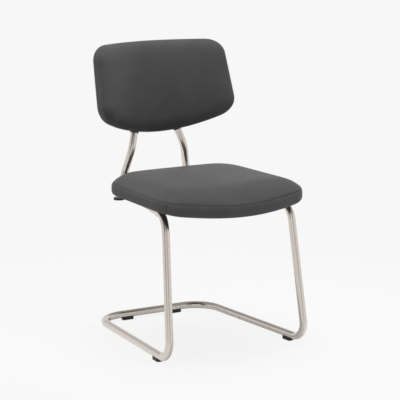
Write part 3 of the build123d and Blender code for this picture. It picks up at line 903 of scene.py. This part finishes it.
# On the seat the stitches lie just inside the seam and lean outwards
seat_stitch_inset = 0.2
seat_stitch_depth = 0.9
outward_share = 0.6
upward_share = 0.8
seat_seam_line = on_layer(drawn_in(seat_ring, seat_seam_inset + seat_stitch_inset), 0.0)
seat_seam_line[:, 2] -= seat_stitch_depth
seat_seam_facing = np.column_stack([inward_normals(seat_ring) * -outward_share,
                                    np.full(len(seat_ring), upward_share)])
seam_stitches("seat_seam_stitches", seat_seam_line, seat_seam_facing)

# On the backrest they face away from a ring further in
back_stitch_inset = 1.6
back_inner_inset = 6.0
back_seam_line = on_backrest(drawn_in(back_ring, back_stitch_inset), back_seam_offset)
back_inner_line = on_backrest(drawn_in(back_ring, back_inner_inset), back_seam_offset)
seam_stitches("back_seam_stitches", back_seam_line, back_seam_line - back_inner_line)

# Staples that hold the lining
staple_bend = [(-5.0, 0, -4.0), (-5.0, 0, 0.0), (-4.6, 0, 0.3), (4.6, 0, 0.3), (5.0, 0, 0.0), (5.0, 0, -4.0)]
staple_line = on_layer(drawn_in(lining_ring, staple_inset), -seat_band_height)
staple_facing = [(0, 0, -1)] * len(staple_line)
staple = round_bar("staple", staple_bend, staple_radius, zinc)
staples = set_along("lining_staples", rows, staple, staple_line, staple_facing, ring_onward(staple_line),
                    {"Pitch": staple_pitch * mm, "Material": zinc})
stand_in(staples, "plain_steel")

# Button heads of the seat screws, sunk into the tube: radii and heights of the outside and the hexagon socket
head_outside = [(5.7, 0.0), (6.0, 0.3), (6.0, 1.3), (5.7, 2.1), (4.9, 3.0), (3.8, 3.7), (2.9, 4.0)]
head_socket = [(2.5, 3.9), (2.3, 3.6), (2.3, 1.4)]
head_points = 48
head_turns = 2 * pi * np.arange(head_points) / head_points
half_flat = pi / 6
hexagon = cos(half_flat) / np.cos((head_turns + half_flat) % (2 * half_flat) - half_flat)
head_rings = []
for profile, shape in ((head_outside, np.ones(head_points)), (head_socket, hexagon)):
    for radius, height in profile:
        reach = radius * shape
        head_rings.append(np.column_stack([
            reach * np.cos(head_turns), reach * np.sin(head_turns), np.full(head_points, height)]))
last_ring = head_points * (len(head_rings) - 1)
head_faces = loop_faces(len(head_rings), head_points)
head_faces += [tuple(range(head_points - 1, -1, -1)), tuple(range(last_ring, last_ring + head_points))]
screw_head = piece("screw_head", np.concatenate(head_rings), head_faces, zinc)
head_height = rail_height - tube_diameter / 2 + screw_head_sink
head_spots = [(sign * x, y, head_height) for x, y in seat_screw_spots for sign in (1, -1)]
screw_heads = set_along("seat_screw_heads", spots, screw_head, head_spots, [(0, 0, -1)] * len(head_spots),
                        [(0, 1, 0)] * len(head_spots), {"Material": zinc})
stand_in(screw_heads, "plain_steel", "seat_screws")

# Finishes of the CAD pieces
finishes = [
    (plastic, ("glide", "back_bushing", "upright_plug", "rail_buffer", "seat_spacer")),
    (zinc, ("seat_screws", "seat_inserts", "back_inserts", "back_screws", "rear_sleeve")),
    (plywood, ("seat_board", "back_board")),
    (steel, ("side_frame",)),
    (leather, ("seat_cushion", "seat_side_band", "back_front_cushion", "back_rear_cushion")),
    (lining_cloth, ("seat_underside_cover",)),
]
for material, starts in finishes:
    for name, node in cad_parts.items():
        if name.startswith(starts):
            node.data.materials.clear()
            node.data.materials.append(material)


# Studio: pale floor that fades into the backdrop, and soft light
backdrop = linear("#f7f7f7")


def pale_floor():
    """Pale studio floor: it takes the chair's shadow near it and fades into the backdrop further out."""
    tree, shader, made = surface("pale_studio_floor", "#f0f0f0", 0.9)
    seen = add(tree, "ShaderNodeLightPath")
    through = add(tree, "ShaderNodeMath", {
        0: seen.outputs["Is Camera Ray"], 1: seen.outputs["Is Transmission Ray"]}, operation="MAXIMUM")
    place = add(tree, "ShaderNodeTexCoord").outputs["Object"]
    far = add(tree, "ShaderNodeVectorMath", {0: place}, operation="LENGTH")
    # Between these distances the backdrop's share grows, and its glow evens out the floor's tone
    fade_range = {"Value": far.outputs["Value"], "From Min": 0.3, "From Max": 1.2}
    fade = add(tree, "ShaderNodeMapRange", {**fade_range, "To Min": 0.88, "To Max": 1.0})
    evened = add(tree, "ShaderNodeMapRange", {**fade_range, "To Min": 1.05, "To Max": 1.0})
    # In the steel's reflections more of the shadow between the runners shows; they spread towards the front
    runner_spread = 0.07
    across = add(tree, "ShaderNodeSeparateXYZ", {0: place})
    sideways = add(tree, "ShaderNodeMath", {0: across.outputs[0]}, operation="ABSOLUTE")
    from_middle = add(tree, "ShaderNodeMath", {
        0: across.outputs[1], 1: runner_spread, 2: sideways.outputs[0]}, operation="MULTIPLY_ADD")
    mirrored = add(tree, "ShaderNodeMapRange", {
        "Value": from_middle.outputs[0], "From Min": 0.19, "From Max": 0.225, "To Min": 0.3, "To Max": 1.0})
    seen_share = add(tree, "ShaderNodeMath", {0: fade.outputs[0], 1: through.outputs[0]},
                     operation="MULTIPLY")
    share = add(tree, "ShaderNodeMath", {
        0: mirrored.outputs[0], 1: seen.outputs["Is Glossy Ray"], 2: seen_share.outputs[0]},
        operation="MULTIPLY_ADD")
    glow = add(tree, "ShaderNodeEmission", {"Color": backdrop, "Strength": evened.outputs[0]})
    mix = add(tree, "ShaderNodeMixShader", {0: share.outputs[0], 1: shader.outputs[0], 2: glow.outputs[0]})
    tree.links.new(mix.outputs[0], tree.nodes["Material Output"].inputs["Surface"])
    return made


def studio_world():
    """Backdrop for the camera, bands and a darker ceiling that the steel mirrors, and even light."""
    made = bpy.data.worlds.new("studio")
    made.use_nodes = True
    sky = made.node_tree
    sky.nodes.clear()
    seen = add(sky, "ShaderNodeLightPath")
    through = add(sky, "ShaderNodeMath", {
        0: seen.outputs["Is Camera Ray"], 1: seen.outputs["Is Transmission Ray"]}, operation="MAXIMUM")
    direction = add(sky, "ShaderNodeTexCoord").outputs["Generated"]
    split = add(sky, "ShaderNodeSeparateXYZ", {0: direction})
    turn = add(sky, "ShaderNodeMath", {0: split.outputs[0], 1: split.outputs[1]}, operation="ARCTAN2")
    # Share of a full turn, with 0.5 towards +Y: the photographer's side is near 0.08
    turn_share = add(sky, "ShaderNodeMapRange", {"Value": turn.outputs[0], "From Min": -pi, "From Max": pi})
    dim = linear("#6e6a66")
    half_dim = linear("#b0aca8")
    bands = add(sky, "ShaderNodeValToRGB", {0: turn_share.outputs[0]}, stops=[
        (0.0, half_dim), (0.025, half_dim), (0.055, backdrop), (0.14, backdrop), (0.17, dim), (0.21, dim),
        (0.24, backdrop), (0.95, backdrop), (0.985, half_dim)])
    # The studio's ceiling is darker than its walls
    ceiling = add(sky, "ShaderNodeMapRange", {
        "Value": split.outputs[2], "From Min": 0.36, "From Max": 0.5, "To Min": 1.0, "To Max": 0.42})
    glossy = add(sky, "ShaderNodeBackground", {"Color": bands.outputs[0], "Strength": ceiling.outputs[0]})
    plain = add(sky, "ShaderNodeBackground", {"Color": backdrop, "Strength": 1.0})
    ambient = add(sky, "ShaderNodeBackground", {"Color": linear("#ffffff"), "Strength": 0.02})
    lit = add(sky, "ShaderNodeMixShader", {
        0: seen.outputs["Is Glossy Ray"], 1: ambient.outputs[0], 2: glossy.outputs[0]})
    shown = add(sky, "ShaderNodeMixShader", {0: through.outputs[0], 1: lit.outputs[0], 2: plain.outputs[0]})
    add(sky, "ShaderNodeOutputWorld", {0: shown.outputs[0]})
    return made


def softbox(name, place, aim, size, power):
    """Square area lamp with no mirror image, aimed at a point; place and aim in metres."""
    lamp = bpy.data.lights.new(name, "AREA")
    lamp.size = size
    lamp.energy = power
    made = bpy.data.objects.new(name, lamp)
    scene.collection.objects.link(made)
    made.visible_glossy = False
    made.location = place
    made.rotation_euler = (Vector(aim) - Vector(place)).to_track_quat("-Z", "Y").to_euler()


floor_reach = 9000.0
floor_corners = [(x * floor_reach, y * floor_reach, 0.0) for x, y in ((-1, -1), (1, -1), (1, 1), (-1, 1))]
floor = piece("floor", floor_corners, [(0, 1, 2, 3)], pale_floor())
scene.world = studio_world()
softbox("overhead_softbox", (0.1, 0.0, 3.2), (0.0, 0.0, 0.5), 2.4, 90.0)
softbox("left_softbox", (-3.0, 0.0, 1.3), (0.0, 0.0, 0.5), 1.8, 26.0)
softbox("right_softbox", (3.0, 0.0, 1.2), (0.0, 0.0, 0.5), 1.8, 36.0)
softbox("front_fill", (0.3, -1.2, 0.2), (0.0, -0.3, 0.45), 0.5, 1.9)

# Camera
towards_camera = Vector((sin(camera_azimuth) * cos(camera_elevation),
                         -cos(camera_azimuth) * cos(camera_elevation), sin(camera_elevation)))
camera_data = bpy.data.cameras.new("camera")
camera_data.lens = camera_lens
camera_data.sensor_width = camera_sensor
camera_data.clip_end = camera_clip_metres
camera = bpy.data.objects.new("camera", camera_data)
scene.collection.objects.link(camera)
looking = (-towards_camera).to_track_quat("-Z", "Y").to_matrix().to_4x4()
rolled = looking @ Matrix.Rotation(camera_roll, 4, "Z")
camera.matrix_world = Matrix.Translation((camera_target + towards_camera * camera_distance) * mm) @ rolled
scene.camera = camera
